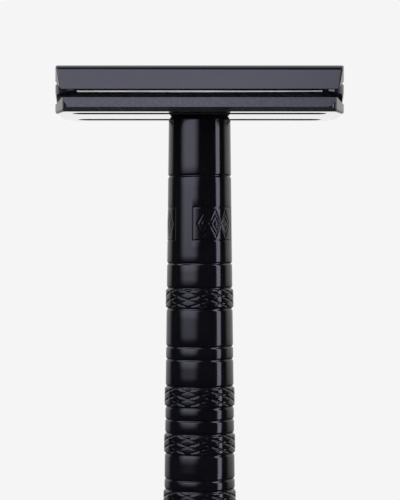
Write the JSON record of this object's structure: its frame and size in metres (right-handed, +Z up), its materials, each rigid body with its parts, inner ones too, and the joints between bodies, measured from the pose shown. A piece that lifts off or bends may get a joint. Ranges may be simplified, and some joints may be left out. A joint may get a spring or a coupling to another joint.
{
  "type": "safety razor",
  "caption": "Upright double-edge safety razor: flat-topped cap and guard plate clamping a bent blade, on a slim turned handle with fine grooves and knurled bands.",
  "frame": {"origin": "centre of the flat end of the handle, which the razor stands on", "axes": "+Z up along the handle to the head, X along the cutting edges, -Y and +Y towards the two cutting edges"},
  "size_m": [0.0452, 0.0254, 0.1026],
  "materials": {
    "black_coated_metal": "gloss black anodised",
    "handle_black": "gloss black anodised, turned and knurled",
    "stud_steel": "machined stainless steel",
    "blade_steel": "polished strip steel with ground edges",
    "bushing_brass": "machined brass"
  },
  "bodies": {
    "handle": {"handle": "handle_black", "threaded_bushing": "bushing_brass"},
    "plate": {"guard_plate": "black_coated_metal"},
    "blade": {"double_edge_blade": "blade_steel"},
    "cap": {"top_cap": "black_coated_metal", "threaded_stud": "stud_steel", "locating_pin_left": "stud_steel", "locating_pin_right": "stud_steel"}
  },
  "joints": [
    {"name": "head_turn", "type": "hinge", "parent": "handle", "child": "plate", "pos_m": [0, 0, 0.095], "axis": [0, 0, 1], "range_deg": [0, 2880]},
    {"name": "cap_lift", "type": "slide", "parent": "plate", "child": "cap", "axis": [0, 0, 1], "range_m": [0, 0.0064]},
    {"name": "blade_lift", "type": "slide", "parent": "plate", "child": "blade", "axis": [0, 0, 1], "range_m": [0, 0.0016]}
  ],
  "couplings": [
    {"joint": "cap_lift", "follows": "head_turn", "m_per_rad": 0.00012732},
    {"joint": "blade_lift", "follows": "head_turn", "m_per_rad": 0.000031831}
  ]
}
